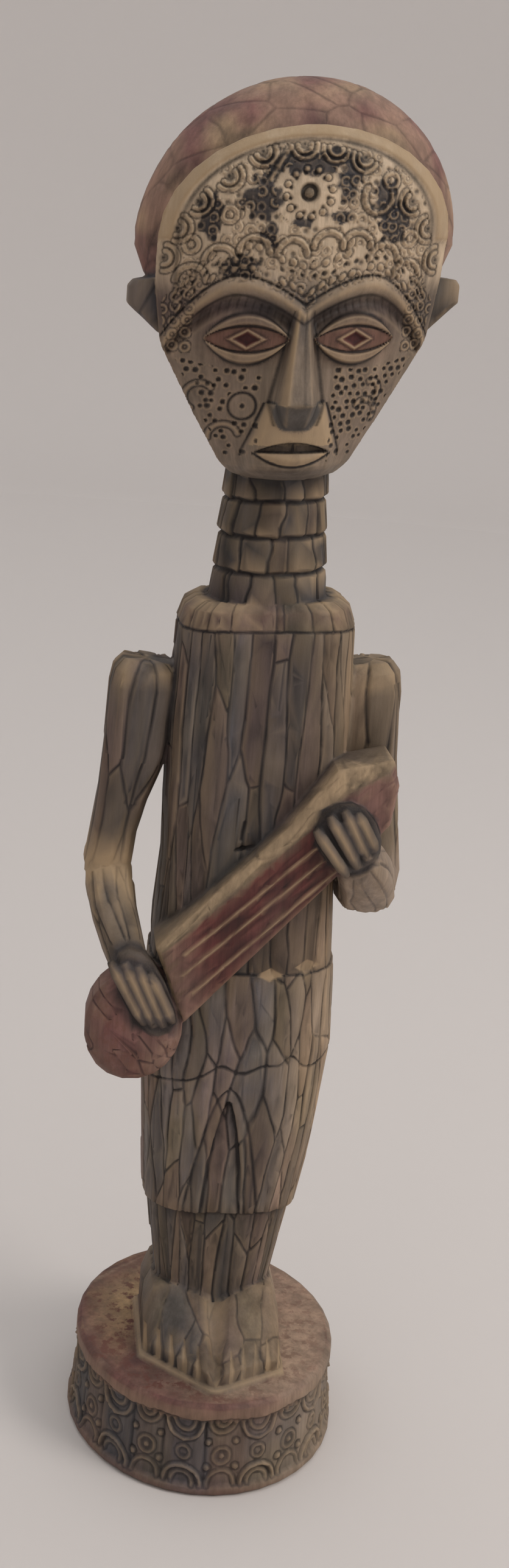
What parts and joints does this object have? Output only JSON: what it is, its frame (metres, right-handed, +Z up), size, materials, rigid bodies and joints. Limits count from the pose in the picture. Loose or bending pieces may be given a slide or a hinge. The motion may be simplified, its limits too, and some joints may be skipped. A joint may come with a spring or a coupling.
{
  "type": "carved wooden musician figure",
  "caption": "Tall carved wooden figure with a large shield face and ringed neck, playing a long lute, one piece with its round plinth.",
  "frame": {"origin": "centre of the plinth's flat underside", "axes": "+Z up, the figure faces -Y, +X is the viewer's right"},
  "size_m": [0.1145, 0.1142, 0.5002],
  "materials": {
    "washed_wood": "antiqued light wash with dark carved lines and worn light edges, satin"
  },
  "bodies": {
    "root": {"carved_figure": "washed_wood"}
  },
  "joints": []
}
